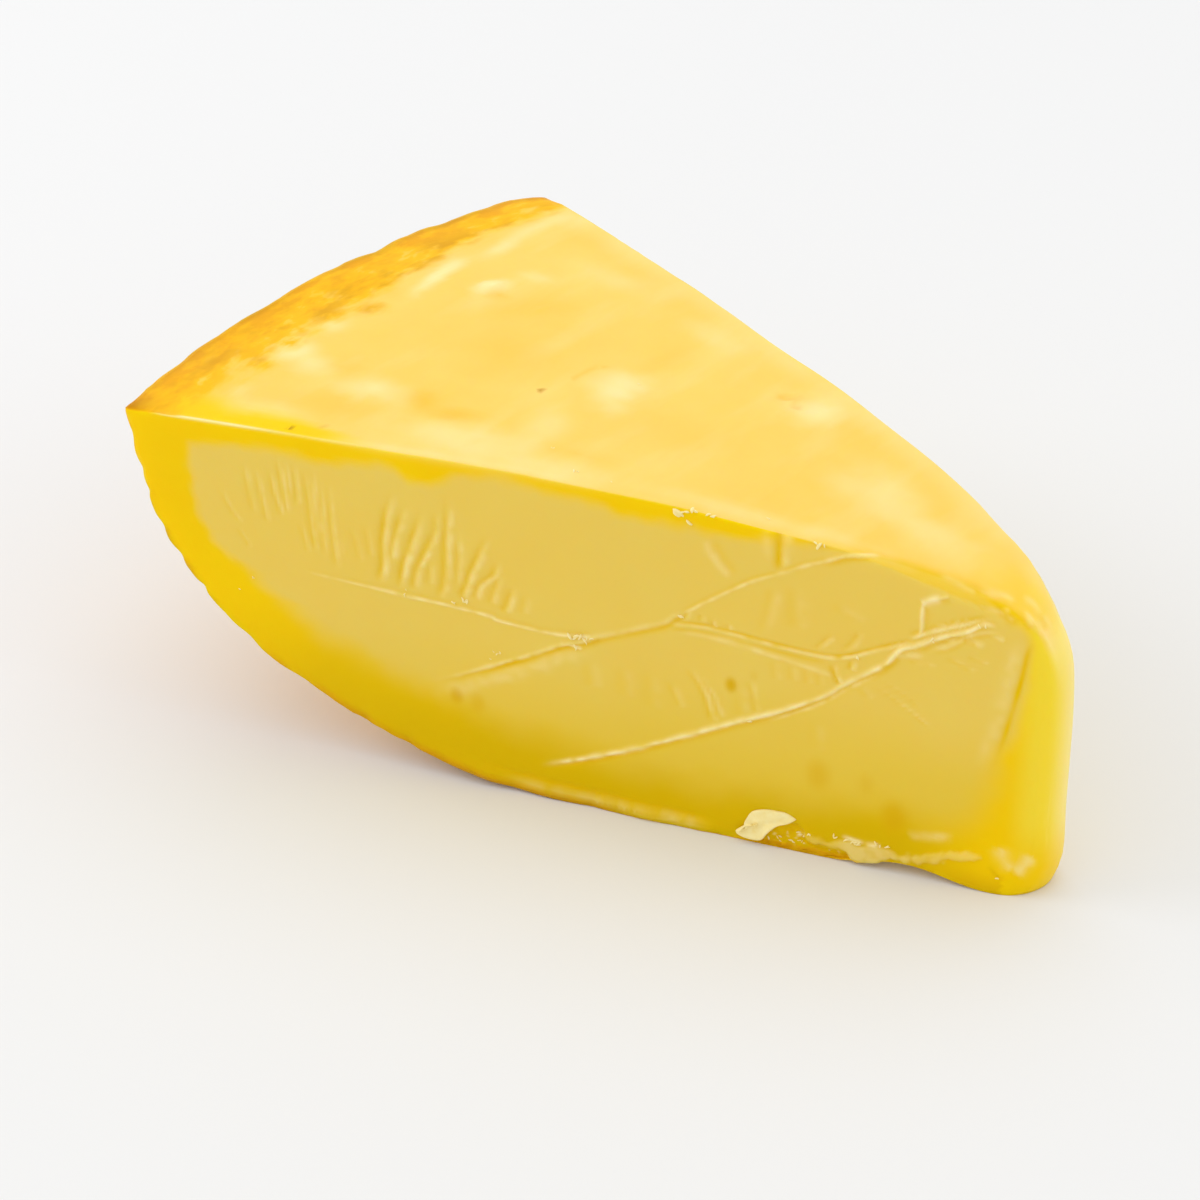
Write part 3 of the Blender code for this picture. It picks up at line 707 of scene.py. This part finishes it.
# Pale patches: partly the skin's own mottling, partly painted sheen.
PALE_AND_SHEEN_SPOTS = [
    (120.5, 20.8, 4.2, 2.8, 20, 0.65), (116.5, 18.2, 2.6, 2.6, 60, 0.45), (106, 15, 4.6, 3.2, 10, 0.6),
    (109, 14, 4, 2.4, 0, 0.35), (118.8, 29.6, 2, 2.2, 0, 0.45), (111.8, 47.5, 1.5, 6, 8, 0.9),
    (107, 60, 1.6, 5, 15, 0.55), (105, 67.5, 2, 5.5, 30, 0.5), (88, 7.4, 9, 3.4, 5, 0.45),
    (95, 6.4, 7, 3, 5, 0.3), (82, 3, 14, 2.6, 2, 0.45), (76.6, 25, 3.8, 5.4, 10, 0.75),
    (79, 27, 3, 3.6, 20, 0.3), (81.5, 13, 3.4, 6, -10, 0.35), (51.4, 30.2, 4, 4.2, 0, 0.7),
    (122.6, 9.5, 1.2, 3.4, 10, 0.35), (50, 2.6, 14, 1.8, 2, 0.35), (103.5, 47.3, 2.9, 1.9, -45, 0.95, 0.12),
    (88, 55, 9, 3, 20, 0.3), (70, 44, 6, 2.4, 30, 0.3), (117, 5, 6, 2, 0, 0.3),
    (99, 52, 3, 1.4, 10, 0.35), (38, 14, 9, 5, 30, 0.4), (27, 8, 6, 4, 20, 0.35), (111, 52, 2, 2.4, 0, 0.3),
]
WARM_SPOTS = [
    (99.2, 14.2, 2.6, 2.4, 10, 0.7), (94.5, 12.2, 4.2, 1.9, 0, 0.65), (112.6, 19, 3, 1.4, 0, 0.4),
    (93, 28, 7, 8, 0, 0.4), (94, 44.5, 8, 3.5, 0, 0.3), (95.5, 65.5, 4, 2, 0, 0.35),
    (73, 37, 2.4, 6, 25, 0.35), (75, 7.4, 6, 1.4, 0, 0.35),
    (66, 18, 9, 5, 10, 0.25), (101.8, 45.6, 1.8, 1.1, 30, 0.6), (113, 8.5, 9, 4, 5, 0.4),
    (117, 43, 4, 2, 60, 0.4),
]
for name, first_seed, spots in (("pale_and_highlight", 300, PALE_AND_SHEEN_SPOTS), ("warm", 320, WARM_SPOTS)):
    for number, values in enumerate(spots):
        spot(paint[name], *values, seed=first_seed + number)

# %% Browning at the rim: wider at the middle of the arc than at its ends
BROWN_ANGLES = (-18.0, -14.4, -10.7, -6.8, -4.0, -0.5, 2.6, 5.3, 10.2, 12.4, 18.0)
BROWN_WIDTHS = (10.0, 11.0, 12.0, 13.5, 13.0, 15.5, 12.0, 10.5, 10.0, 10.5, 8.0)
brown_width = np.interp(at.angle, BROWN_ANGLES, BROWN_WIDTHS)
brown_width *= 1.0 + 0.18 * rough(5, 28) + 0.22 * rough(2.2, 29)
edge_distance = WHEEL_RADIUS - at.radius
side_or_under = np.clip(1.0 - upward - paint["cut"], 0.0, 1.0) * ramp(at.radius, 26, 50)
paint["browned"] = np.clip(1.0 - edge_distance / brown_width, 0.0, 1.0) * upward
lay("browned", 0.7 * side_or_under)
centre_of_scorch = np.interp(at.angle, (-18.0, -4.0, 1.0, 18.0), (3.5, 4.5, 7.5, 7.0))
paint["scorch"] = upward * hump(edge_distance, centre_of_scorch, 3)
paint["scorch"] = np.maximum(paint["scorch"] * (0.7 + 0.3 * ramp(at.angle, -2, 3)), 0.4 * rind)
SCORCHED_SPOTS = [
    (124, 16.5, 2.6, 2, 0, 0.9), (122, 24, 2.4, 3, 0, 0.8), (125.5, 28, 2.4, 3, 0, 0.9),
    (123, 33, 3, 3, 0, 0.9), (120.5, 39.5, 3, 3, 0, 0.9), (116, 36, 2.2, 2.4, 0, 0.7),
    (119, 44, 2.6, 3, 0, 1), (117, 50, 2.6, 3, 0, 1), (115.5, 56, 2.6, 3, 0, 1),
    (130.5, 6, 2.4, 3, 0, 0.9), (130, 15.5, 1, 1.2, 0, 1),
]
for number, values in enumerate(SCORCHED_SPOTS):
    spot(paint["scorch"], *values, seed=340 + number)
    spot(paint["browned"], *values[:5], 0.35 * values[5], seed=340 + number)
paint["scorch"] *= np.where(upward > 0.0, ramp(paint["browned"], 0.05, 0.3), 1.0)
turning = ramp(normal @ FRONT_OUT, 0.1, 0.4) * fall(normal @ FRONT_OUT, 0.8, 0.96)
turning *= fall(normal[:, 2], -0.1, 0.4) * ramp(at.along, 30, 50)
lay("browned", 0.65 * turning)
rind_line = hump(to_rind(at), 0, 0.75) * (1.0 - upward) * ramp(at.along, 62, 72)
rind_line *= (1.0 - 0.6 * ramp(at.up, 24, 40)) * (at.depth < 3.0)
corner = hump(at.angle, -17.8, 1.3) * hump(edge_distance, 0, 3) * (1.0 - front)
paint["dark_brown_and_shade"] = np.clip(0.9 * corner * ramp(at.up, 43, 46.2) + 0.2 * rind * (1.0 - corner), 0.0, 1.0)
lay("browned", 0.35 * rind_line)
lay("dark_brown_and_shade", 0.7 * rind_line)
# Painted shade: a thin darker line along the rim's outline on top, where the edge turns away.
rim_outline_shade = hump(at.radius, 134.2, 0.7) * ramp(at.up, 42, 45)
lay("dark_brown_and_shade", 0.5 * rim_outline_shade * (1.0 - front) * (0.7 + 0.5 * rough(6, 63)))

# %% Bumps and pits of the skin
bump = np.hypot(at.along - 103.5, at.depth - 47.5)
relief += upward * 0.65 * fall(bump, 0.6, 1.9)
small = np.hypot(at.along - 94.5, at.depth - 43.0)
relief += upward * 0.15 * fall(small, 0.4, 1.2)
pit = np.hypot((at.along - 52.5) / 3.2, (at.depth - 31.0) / 2.4)
relief -= upward * 0.35 * fall(pit, 0.4, 1.1)
slit, _, _ = near_line(at.along, at.depth, curve([(56.4, 31.4), (55, 31.6), (53.6, 30.2)]))
relief -= upward * 0.35 * fall(slit, 0.2, 0.9)
lay("warm", 0.5 * upward * fall(slit, 0.2, 0.8))
scratch, _, _ = near_line(at.along, at.depth, curve([(83, 26), (82, 28.5), (80.6, 31)]))
lay("warm", 0.6 * upward * fall(scratch, 0.1, 0.6))

# %% A few specks of dark smoke: (along, depth, radius)
for along, depth, radius in [(86.0, 21.5, 0.45), (112.0, 1.6, 0.5), (108.0, 3.0, 0.3), (82.5, 34.5, 0.25)]:
    distance = np.hypot(at.along - along, at.depth - depth) / radius
    lay("dark_brown_and_shade", 0.8 * upward * fall(distance, 0.5, 1.4))

# %% [markdown]
# ## The torn lip at the foot
# Near the nose the foot of the cut stuck to the board and tore. A strip of pale paste hangs there,
# with a rough grainy hollow above it and a smooth yellow roll below.

# %% Tear the foot: places are (along the cut, height)
HOLLOW = curve([(48.6, 0.4), (48, 1.8), (46.4, 2.8), (44.8, 3.6), (43, 3.9), (41.8, 3), (41, 1.6),
                (38.5, 1.2), (36, 1.2), (36, 0.2), (42, 0.1)], 4)
LIP = curve([(42.2, 2.7), (40.4, 3), (38.6, 2.6), (37.2, 3), (35.8, 3.3), (34.8, 2.9), (33.6, 3.3),
             (31.4, 3.3), (29, 3), (26.4, 3.7), (24, 4.5), (22, 5), (20, 5.4), (18.6, 4.8), (20.6, 4),
             (23.2, 3.2), (25.8, 2.5), (28, 2), (30.2, 1.8), (32.2, 0.9), (34.6, 0.2), (35.8, 0.7),
             (36.2, 1.6), (39, 1.7), (41.4, 1.9)], 4)
low_front = np.flatnonzero(pressable * (at.run > 16.0) * (at.run < 53.0) * (at.rise < 8.0))
run, rise, spots_xyz = at.run[low_front], at.rise[low_front], at.xyz[low_front]
ragged = 0.22 * grain(spots_xyz, 0.9, 56) + 0.14 * grain(spots_xyz, 0.5, 57)
hollow = ramp(inside(run, rise, HOLLOW) + ragged, -0.3, 0.5)
lip = ramp(inside(run, rise, LIP) + 1.3 * ragged, -0.15, 0.35)
relief[low_front] += hollow * (0.20 * grain(spots_xyz, 0.8, 52) - 0.55) + lip * (0.30 + 0.12 * ragged)
# The deeper yellow in the hollow is painted shade; the pale paste is torn away there.
lay("deep_yellow_and_shade", 0.8 * hollow, low_front)
paint["paste"][low_front] *= 1.0 - 0.8 * hollow
grains = np.clip(4.0 * grain(spots_xyz, 0.55, 53) - 1.7, 0.0, 0.75)
patchy = np.clip(0.8 + 0.5 * grain(spots_xyz, 1.6, 59) + 0.3 * grain(spots_xyz, 0.6, 60), 0.0, 1.0)
body_of_lip = 0.42 * lip * patchy * (0.6 + 0.4 * ramp(run, 24, 34))
body_of_lip *= 1.0 - 0.5 * ramp(run, 35.5, 38)
for values in (hollow * grains, body_of_lip):
    lay("pale_and_highlight", values, low_front)
# Painted shade: dark orange under the hanging lip and low by the foot of the nose, and a browned dark strip
# where the foot meets the board.
under_lip, _, _ = near_line(run, rise, curve([(37, -0.2), (34, 0), (31, 0.8), (28, 1.1), (25, 1)]))
shade_under_lip = 0.5 * (1.0 - lip) * fall(under_lip, 0.1, 0.9)
shade_under_lip = np.maximum(shade_under_lip, 0.32 * fall(rise, 0.2, 3.8) * fall(run, 20, 26))
contact_shade = fall(rise, 0.2, 1) * ramp(run, 24, 28) * fall(run, 48, 52)
lay("browned", 0.9 * contact_shade, low_front)
lay("dark_brown_and_shade", np.maximum(shade_under_lip, 0.35 * contact_shade), low_front)
for points, width, strength in (
    ([(28.4, 5.9), (25.6, 6.3), (22.4, 7)], 0.55, 0.45), ([(16.4, 7), (15.8, 5.2), (14.9, 3.6)], 0.8, 0.6),
    ([(12.4, 6.6), (13.2, 5), (14.4, 3.2)], 0.7, 0.5), ([(37, 3.7), (34, 3.4), (31.4, 3.5)], 0.25, 0.9),
):
    press(curve(points), width, 0.08, 0, 0, 0.4, strength, 0, (0.2, 0.2), 55)
# A crescent of painted shade beside the small crumb at the foot of the nose.
press(curve([(17.6, 4.2), (16.6, 2.6), (15.6, 3)]), 0.3, 0, 0.16, 0, 0.3, 0, 0.7, (0.2, 0.2), 58)

# %% Small deep stains in the cut: (along, height, radius, strength)
STAINS = [(52, 22.6, 0.9, 0.9), (40.3, 11.9, 1.8, 0.45), (30.2, 7.8, 1.9, 0.7), (49, 24.6, 0.7, 0.15),
          (89.5, 12.4, 1, 0.8), (86.5, 12, 1.2, 0.4), (34, 12, 1.2, 0.25)]
for along, up, radius, strength in STAINS:
    distance = np.hypot(at.along - along, 0.7 * (at.up - up)) / radius
    stain = front * strength * fall(distance, 0.2, 1.3)
    lay("deep_yellow_and_shade", stain)
    lay("dark_brown_and_shade", 0.3 * stain)

# %% Move the corners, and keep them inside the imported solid's box
moved = at.xyz + normal * relief[:, None] - radial * inward[:, None] - outward * scallops[:, None]
lowest, highest = np.array(LOW) / MM, np.array(HIGH) / MM
moved = np.clip(moved, lowest, highest)
move_corners(body.data, moved * MM)
print(f"corners moved {np.abs(relief).max():.2f} mm at most")

# %% Store the paint on the corners
for name, values in paint.items():
    layer = body.data.attributes.new(name, "FLOAT", "POINT")
    layer.data.foreach_set("value", np.clip(values, 0.0, 1.0))
round_rim = np.stack([np.radians(at.angle) * WHEEL_RADIUS * 0.5, at.radius, at.up], axis=1) * MM
layer = body.data.attributes.new("round_rim", "FLOAT_VECTOR", "POINT")
layer.data.foreach_set("vector", round_rim.ravel())

# %% Cut the faces into triangles, each along its better diagonal, to be rid of flat slivers
only(body)
bpy.ops.object.mode_set(mode="EDIT")
bpy.ops.mesh.select_all(action="SELECT")
bpy.ops.mesh.quads_convert_to_tris(quad_method="BEAUTY", ngon_method="BEAUTY")
bpy.ops.object.mode_set(mode="OBJECT")
bpy.ops.object.shade_smooth()
print("body finished:", triangles(body.data), "triangles")

# %% [markdown]
# ## The cheese's finish
# Smoked cheese is fat and protein: its IOR is near that of butter, 1.45, and its cut is smooth
# and waxy. Light goes a few millimetres in, which softens every edge. One material covers the
# body. It reads the painted layers, and adds the fine mottling that is too small to paint.


# %% Colours and nodes
def srgb(code):
    """Turn a hex colour into the linear values that a shader wants."""
    parts = [int(code[i:i + 2], 16) / 255.0 for i in (1, 3, 5)]
    return (*(p / 12.92 if p <= 0.04045 else ((p + 0.055) / 1.055) ** 2.4 for p in parts), 1.0)


def add(tree, kind, inputs=None, **settings):
    """Add a node, set what it is told, and link what it is given."""
    node = tree.nodes.new("ShaderNode" + kind)
    for name, value in settings.items():
        setattr(node, name, value)
    for name, value in (inputs or {}).items():
        if isinstance(value, bpy.types.NodeSocket):
            tree.links.new(value, node.inputs[name])
        else:
            node.inputs[name].default_value = value
    return node


def per_metre(size):
    """The noise scale whose features are about `size` millimetres across."""
    return 1.0 / (size * MM)


MIX = {"data_type": "RGBA", "clamp_factor": True}
FAT_IOR = 1.45


# %% The material of the body
cheese = bpy.data.materials.new("smoked_cheese")
cheese.use_nodes = True
tree = cheese.node_tree
tree.nodes.clear()
place = add(tree, "TexCoord").outputs["Object"]
layers = {name: add(tree, "Attribute", attribute_name=name).outputs["Fac"] for name in LAYERS}
rim_place = add(tree, "Attribute", attribute_name="round_rim").outputs["Vector"]
broad = add(tree, "TexNoise", {"Vector": place, "Scale": per_metre(14), "Detail": 3.0})
fine = add(tree, "TexNoise", {"Vector": place, "Scale": per_metre(1.1), "Detail": 5.0, "Roughness": 0.6})
streak_place = add(tree, "Mapping", {"Vector": place, "Rotation": (0.0, 0.0, math.radians(-62)),
                                     "Scale": (1.0, 0.28, 1.0)}).outputs[0]
streaks = add(tree, "TexNoise", {"Vector": streak_place, "Scale": per_metre(6), "Detail": 4.0})

skin = add(tree, "Mix", {0: broad.outputs["Fac"], 6: srgb("#fbc64a"), 7: srgb("#fdd774")}, **MIX)
streaked = add(tree, "MapRange", {"Value": streaks.outputs["Fac"], "From Min": 0.5,
                                  "From Max": 0.8, "To Max": 0.45})
for share, code in ((streaked.outputs[0], "#fedf90"), (layers["warm"], "#fabf3a")):
    skin = add(tree, "Mix", {0: share, 6: skin.outputs[2], 7: srgb(code)}, **MIX)

clear = add(tree, "Mix", {0: broad.outputs["Fac"], 6: srgb("#f3c500"), 7: srgb("#fbd400")}, **MIX)
# low makes the clear band darker towards the foot; nose is a lighter yellow, painted glow of light shining
# through the nose.
for name, code in (("low", "#dcb700"), ("nose", "#f8da38")):
    clear = add(tree, "Mix", {0: layers[name], 6: clear.outputs[2], 7: srgb(code)}, **MIX)
paste = add(tree, "Mix", {0: broad.outputs["Fac"], 6: srgb("#efc955"), 7: srgb("#eacf62")}, **MIX)
paste = add(tree, "Mix", {0: layers["rich"], 6: paste.outputs[2], 7: srgb("#e9c842")}, **MIX)
# The deep layer is partly deep yellow stains and partly painted shade; the pale layer is partly pale marks
# and partly painted highlights.
colour = skin
for name, over in (("cut", clear.outputs[2]), ("paste", paste.outputs[2]), ("deep_yellow_and_shade", srgb("#ebc000")),
                   ("pale_and_highlight", srgb("#ffeaa8"))):
    colour = add(tree, "Mix", {0: layers[name], 6: colour.outputs[2], 7: over}, **MIX)

# %% Browning: it grows towards the rim and breaks up in specks and streaks along it
specks = add(tree, "TexNoise", {"Vector": rim_place, "Scale": per_metre(2), "Detail": 3.0,
                                "Roughness": 0.55})
broken = add(tree, "MapRange", {"Value": specks.outputs["Fac"], "From Min": 0.34, "From Max": 0.66,
                                "To Min": 0.5, "To Max": 1.5})
brown = add(tree, "Math", {0: layers["browned"], 1: broken.outputs[0]}, operation="MULTIPLY")
amount = add(tree, "MapRange", {"Value": brown.outputs[0], "From Min": 0.05, "From Max": 0.46})
shades = add(tree, "ValToRGB", {0: brown.outputs[0]})
shades.color_ramp.elements[0].position = 0.15
shades.color_ramp.elements[0].color = srgb("#fcc70e")
shades.color_ramp.elements[1].position = 1.0
shades.color_ramp.elements[1].color = srgb("#eea904")
golden = shades.color_ramp.elements.new(0.7)
golden.color = srgb("#f6b704")
colour = add(tree, "Mix", {0: amount.outputs[0], 6: colour.outputs[2], 7: shades.outputs[0]}, **MIX)
scorch = add(tree, "TexNoise", {"Vector": rim_place, "Scale": per_metre(3), "Detail": 3.0,
                                "Roughness": 0.5})
scorched = add(tree, "MapRange", {"Value": scorch.outputs["Fac"], "From Min": 0.45, "From Max": 0.62})
scorched = add(tree, "Math", {0: scorched.outputs[0], 1: layers["scorch"]}, operation="MULTIPLY")
# The dark layer is brown smoke and corners, and also painted shade along the rim's outline and under the
# torn lip.
for share, code in ((scorched.outputs[0], "#e0a000"), (layers["dark_brown_and_shade"], "#b87c04")):
    colour = add(tree, "Mix", {0: share, 6: colour.outputs[2], 7: srgb(code)}, **MIX)

# %% Gloss and the waxy grain
roughness = add(tree, "MapRange", {"Value": broad.outputs["Fac"], "To Min": 0.34, "To Max": 0.5})
waxy = add(tree, "Bump", {"Height": fine.outputs["Fac"], "Strength": 0.12, "Distance": 0.3 * MM})
shader = add(tree, "BsdfPrincipled", {
    "Base Color": colour.outputs[2], "Roughness": roughness.outputs[0], "Normal": waxy.outputs[0],
    "IOR": FAT_IOR, "Specular IOR Level": 0.10, "Specular Tint": (1.0, 0.93, 0.5, 1.0),
    "Subsurface Weight": 0.3, "Subsurface Radius": (1.0, 0.6, 0.12), "Subsurface Scale": 3.0 * MM,
})
add(tree, "OutputMaterial", {"Surface": shader.outputs[0]})
body.data.materials.append(cheese)

# %% Say which part the body is
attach(body, "root")
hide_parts("cheese_wedge")


# %% [markdown]
# ## The curled flake and the crumbs
# Where the foot tore, one flake of paste curled up. And wherever the surface was rubbed, small
# white crumbs of dried paste cling to it: on the top edge, on the creases and along the tear.

# %% A point on the body's skin
def on_skin(along, up, depth=0.0):
    """The nearest point of the body to a place on the front cut, and the way it faces there."""
    cosine, sine = math.cos(HALF_ANGLE), math.sin(HALF_ANGLE)
    out = along * cosine + depth * sine
    across = -along * sine + depth * cosine
    wanted = Vector((CENTRE_X - out, across, up)) * MM
    _, spot_found, way, _ = body.closest_point_on_mesh(wanted)
    return spot_found, way


# %% The flake: a sheet drawn out from its middle to a lobed outline, cupped and thickened
FLAKE = curve([(43, 4.3), (44.4, 4.9), (46, 4.9), (47.6, 4.7), (48.9, 4.2), (49.5, 3.3), (49.8, 2.4),
               (49.6, 1.7), (50.1, 1.2), (50.8, 0.9), (50.2, 0.5), (48.8, 0.3), (47.4, 0.5), (46.8, 1.4),
               (46.2, 2.2), (45.4, 2.9), (44, 3.5), (43, 4.3)], 6)
MIDDLE = np.array((47.9, 3.1))
bpy.ops.mesh.primitive_grid_add(x_subdivisions=72, y_subdivisions=9, size=2.0)
flake = bpy.context.active_object
flake.name = "torn_flake"
flat = corners(flake.data)
turn_share, ring = (flat[:, 0] + 1.0) / 2.0, (flat[:, 1] + 1.0) / 2.0
steps_round = turn_share * (len(FLAKE) - 1)
rim_of_flake = np.stack(
    [np.interp(steps_round, np.arange(len(FLAKE)), FLAKE[:, i]) for i in (0, 1)], axis=1)
wide, tall = (MIDDLE + (rim_of_flake - MIDDLE) * ring[:, None] - (46.6, 3.3)).T
wide *= -1.0
stand_off = 0.30 + 0.45 * ramp(ring, 0.4, 1) * ramp(-tall, -1.2, 1.6) + 0.15 * (1.0 - ring)
stand_off += 0.14 * grain(np.stack([wide, tall, 0 * wide], axis=1), 1.3, 61) * ring
base, way = on_skin(46.4, 3.65)
sideways = Vector((math.cos(HALF_ANGLE), math.sin(HALF_ANGLE), 0.0))
upwards = way.cross(sideways).normalized()
sheet = (
    np.outer(wide, sideways) + np.outer(tall, upwards) + np.outer(stand_off, way)
) * MM + np.array(base)
move_corners(flake.data, sheet)
only(flake)
bpy.ops.object.mode_set(mode="EDIT")
bpy.ops.mesh.select_all(action="SELECT")
bpy.ops.mesh.remove_doubles(threshold=0.02 * MM)
bpy.ops.object.mode_set(mode="OBJECT")
modify(flake, "thickness", "SOLIDIFY", thickness=0.45 * MM, offset=1.0)
modify(flake, "soft rim", "SUBSURF", levels=1, render_levels=1)
bpy.ops.object.mode_set(mode="EDIT")
bpy.ops.mesh.select_all(action="SELECT")
bpy.ops.mesh.normals_make_consistent(inside=False)
bpy.ops.object.mode_set(mode="OBJECT")
bpy.ops.object.shade_smooth()
print("torn flake:", triangles(flake.data), "triangles")

# %% The crumbs: (along, height, depth, how many, spread, largest size) in millimetres
CRUMB_PLACES = [
    (59.4, 46, 0, 3, 0.9, 1.6), (57.8, 44.9, 0, 1, 0.3, 1.4), (57.2, 46.3, 0.2, 3, 0.9, 1.2),
    (55.2, 46.2, 0.2, 2, 0.7, 1.2), (48.4, 46.2, 2.9, 2, 0.4, 0.9), (41, 45, 0.3, 3, 0.7, 1),
    (96.4, 26.4, 0, 2, 0.2, 0.6), (96.2, 27.2, 0, 1, 0.2, 0.5), (89.6, 26.6, 0, 3, 0.2, 0.9),
    (87.4, 27.3, 0, 4, 0.7, 0.8), (83.8, 20.3, 0, 4, 0.8, 0.7), (84.6, 19.2, 0, 1, 0.1, 0.6),
    (72, 25.2, 0, 9, 1.8, 1.2), (72.4, 23.6, 0, 2, 0.5, 1.1), (59.4, 31.2, 0, 3, 0.8, 0.8),
    (117.6, 24.3, 0, 2, 0.3, 0.6), (120, 22.2, 0, 1, 0.2, 0.5), (49.8, 17.9, 0, 3, 0.8, 0.8),
    (36, 30.4, 0, 2, 0.4, 0.8), (26.6, 34.8, 0, 2, 0.5, 0.9), (20.4, 38, 0, 2, 0.6, 0.9),
    (74.7, 47, 28.3, 1, 0.2, 0.6), (78.6, 47, 7.6, 2, 0.4, 0.7), (73.6, 47, 3.2, 2, 0.5, 0.8),
    (68.8, 47, 2.6, 1, 0.3, 0.7), (42, 2.4, 0, 5, 1, 0.8), (36, 3.1, 0, 8, 2, 0.9),
    (31.8, 3.3, 0, 5, 1.4, 0.8), (44.5, 1, 0, 8, 2.6, 0.6), (16.5, 2.2, 0, 1, 0.1, 0.8),
]
random = np.random.default_rng(71)
crumbs = []
for along, up, depth, count, spread, largest in CRUMB_PLACES:
    for _ in range(count):
        shift = random.uniform(-spread, spread)
        rise = random.uniform(-0.35, 0.35) * min(spread, 1.0)
        spot_found, way = on_skin(along + shift, up + rise, depth)
        length = largest * random.uniform(0.5, 1.0)
        bpy.ops.mesh.primitive_ico_sphere_add(subdivisions=2, radius=1.0)
        crumb = bpy.context.active_object
        shape = corners(crumb.data)
        shape *= 1.0 + 0.35 * grain(shape + 7 * len(crumbs), 0.9, 72)[:, None]
        shape[:, 1] += random.uniform(-0.9, 0.9) * shape[:, 0] ** 2
        shape *= (length, length * random.uniform(0.22, 0.4), length * 0.4)
        turned = (
            Matrix.Translation(spot_found)
            @ way.to_track_quat("Z", "Y").to_matrix().to_4x4()
            @ Matrix.Rotation(random.uniform(0.0, math.tau), 4, "Z")
        )
        rows = np.c_[shape * 0.5 * MM, np.ones(len(shape))] @ np.array(turned).T
        move_corners(crumb.data, rows[:, :3])
        crumbs.append(crumb)
bpy.ops.object.select_all(action="DESELECT")
for crumb in crumbs:
    crumb.select_set(True)
bpy.context.view_layer.objects.active = crumbs[0]
bpy.ops.object.join()
crumbs = bpy.context.active_object
crumbs.name = "crumbs"
move_corners(crumbs.data, np.clip(corners(crumbs.data), LOW, HIGH))
bpy.ops.object.shade_smooth()
print("crumbs:", triangles(crumbs.data), "triangles")

# %% Dry paste: paler and duller than the cut, with a grain just under a millimetre across
dry = bpy.data.materials.new("dry_paste")
dry.use_nodes = True
tree = dry.node_tree
tree.nodes.clear()
place = add(tree, "TexCoord").outputs["Object"]
grit = add(tree, "TexNoise", {"Vector": place, "Scale": per_metre(0.9), "Detail": 4.0})
tone = add(tree, "Mix", {0: grit.outputs["Fac"], 6: srgb("#f6dc80"), 7: srgb("#fff4bc")}, **MIX)
rough_paste = add(tree, "Bump", {"Height": grit.outputs["Fac"], "Strength": 0.3, "Distance": 0.2 * MM})
shader = add(tree, "BsdfPrincipled", {
    "Base Color": tone.outputs[2], "Normal": rough_paste.outputs[0], "Roughness": 0.6, "IOR": FAT_IOR,
    "Specular IOR Level": 0.25,
})
add(tree, "OutputMaterial", {"Surface": shader.outputs[0]})
for piece in (flake, crumbs):
    piece.data.materials.clear()
    piece.data.materials.append(dry)
    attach(piece, "root")

# %% [markdown]
# ## Stage, light and camera
# The wedge stands on a plain pale floor in soft light from all round, with a broad lamp above
# and behind it and a low one at each side. The camera looks down on the front cut with a long lens.

# %% The floor
bpy.ops.mesh.primitive_plane_add(size=8.0, location=(0.0, 0.0, 0.0))
floor = bpy.context.active_object
floor.name = "floor"
paper = bpy.data.materials.new("matt_white_board")
paper.use_nodes = True
board = paper.node_tree.nodes["Principled BSDF"]
board.inputs["Base Color"].default_value = srgb("#e9e9e9")
board.inputs["Roughness"].default_value = 0.9
board.inputs["Specular IOR Level"].default_value = 0.1
floor.data.materials.append(paper)

# %% The light
world = bpy.data.worlds.new("soft studio")
world.use_nodes = True
world.node_tree.nodes["Background"].inputs["Color"].default_value = (0.985, 0.988, 0.99, 1.0)
world.node_tree.nodes["Background"].inputs["Strength"].default_value = 0.90
bpy.context.scene.world = world


def lamp(name, place, size, power):
    """A square soft lamp that faces the wedge."""
    light = bpy.data.lights.new(name, "AREA")
    light.size = size
    light.energy = power
    lamp_object = bpy.data.objects.new(name, light)
    lamp_object.location = place
    lamp_object.rotation_euler = (-Vector(place)).to_track_quat("-Z", "Y").to_euler()
    bpy.context.scene.collection.objects.link(lamp_object)


lamp("lamp over the back", (-0.2, 0.5, 1.4), 1.4, 3.5)
lamp("low lamp at the left", (-0.9, -0.5, 0.45), 0.8, 3.6)
lamp("low lamp at the right", (0.8, 0.35, 0.4), 0.6, 0.8)

# %% The camera
AZIMUTH = math.radians(39.31)
ELEVATION = math.radians(31.47)
ROLL = math.radians(-0.43)
EYE = Vector((0.2357, -0.3013, 0.2527))
FOCAL_LENGTH, SENSOR_WIDTH = 101.96, 36.0  # millimetres
ahead = Vector((-math.sin(AZIMUTH) * math.cos(ELEVATION), math.cos(AZIMUTH) * math.cos(ELEVATION),
                -math.sin(ELEVATION)))
right = ahead.cross(Vector((0.0, 0.0, 1.0))).normalized()
above = right.cross(ahead)
turned_right = right * math.cos(ROLL) + above * math.sin(ROLL)
turned_up = above * math.cos(ROLL) - right * math.sin(ROLL)
lens = bpy.data.cameras.new("camera")
lens.lens = FOCAL_LENGTH
lens.sensor_width = SENSOR_WIDTH
camera = bpy.data.objects.new("camera", lens)
turn = Matrix((turned_right, turned_up, -ahead)).transposed().to_4x4()
camera.matrix_world = Matrix.Translation(EYE) @ turn
bpy.context.scene.collection.objects.link(camera)
bpy.context.scene.camera = camera
bpy.context.scene.view_settings.view_transform = "Standard"
